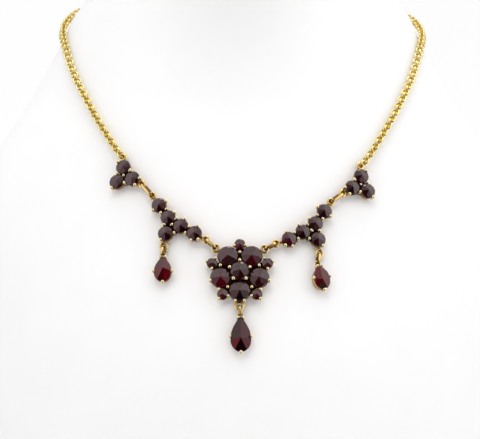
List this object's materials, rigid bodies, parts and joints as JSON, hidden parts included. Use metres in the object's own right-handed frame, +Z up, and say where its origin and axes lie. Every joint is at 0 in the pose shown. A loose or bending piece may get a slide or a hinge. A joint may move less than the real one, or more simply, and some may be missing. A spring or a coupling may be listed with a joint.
{
  "type": "garnet necklace on neck bust",
  "caption": "Rose-cut garnet necklace in claw settings with a flower rosette, side branches, trefoils, pear drops and a belcher chain, laid round a plain neck bust.",
  "frame": {"origin": "middle of the bust's flat base, on the surface that it stands on", "axes": "+Z up, the necklace's front faces -Y, +X to the viewer's right"},
  "size_m": [0.173, 0.1281, 0.206],
  "materials": {
    "bust": "smooth matt white",
    "gold": "polished yellow gold",
    "chain": "polished yellow gold belcher links",
    "garnet": "polished rose-cut facets, very dark red",
    "garnet_drop": "polished facets, dark red"
  },
  "bodies": {
    "root": {"bust": "bust", "rosette_setting": "gold", "rosette_stone_centre": "garnet", "rosette_petal_1": "garnet", "rosette_petal_2": "garnet", "rosette_petal_3": "garnet", "rosette_petal_4": "garnet", "rosette_petal_5": "garnet", "rosette_small_1": "garnet", "rosette_small_2": "garnet", "rosette_small_3": "garnet", "rosette_small_4": "garnet", "rosette_small_5": "garnet", "branch_left_setting": "gold", "branch_left_stone_1": "garnet", "branch_left_stone_2": "garnet", "branch_left_stone_3": "garnet", "branch_left_stone_4": "garnet", "branch_left_stone_5": "garnet", "trefoil_left_setting": "gold", "trefoil_left_stone_1": "garnet", "trefoil_left_stone_2": "garnet", "trefoil_left_stone_3": "garnet", "branch_right_setting": "gold", "branch_right_stone_1": "garnet", "branch_right_stone_2": "garnet", "branch_right_stone_3": "garnet", "branch_right_stone_4": "garnet", "branch_right_stone_5": "garnet", "trefoil_right_setting": "gold", "trefoil_right_stone_1": "garnet", "trefoil_right_stone_2": "garnet", "trefoil_right_stone_3": "garnet", "drop_centre_setting": "gold", "drop_centre_stone": "garnet_drop", "drop_left_setting": "gold", "drop_left_stone": "garnet_drop", "drop_right_setting": "gold", "drop_right_stone": "garnet_drop", "link_rosette_left": "gold", "link_rosette_right": "gold", "link_trefoil_left": "gold", "link_trefoil_right": "gold", "link_drop_centre": "gold", "link_drop_left": "gold", "link_drop_right": "gold", "chain_left": "chain", "chain_right": "chain", "clasp": "gold"}
  },
  "joints": []
}
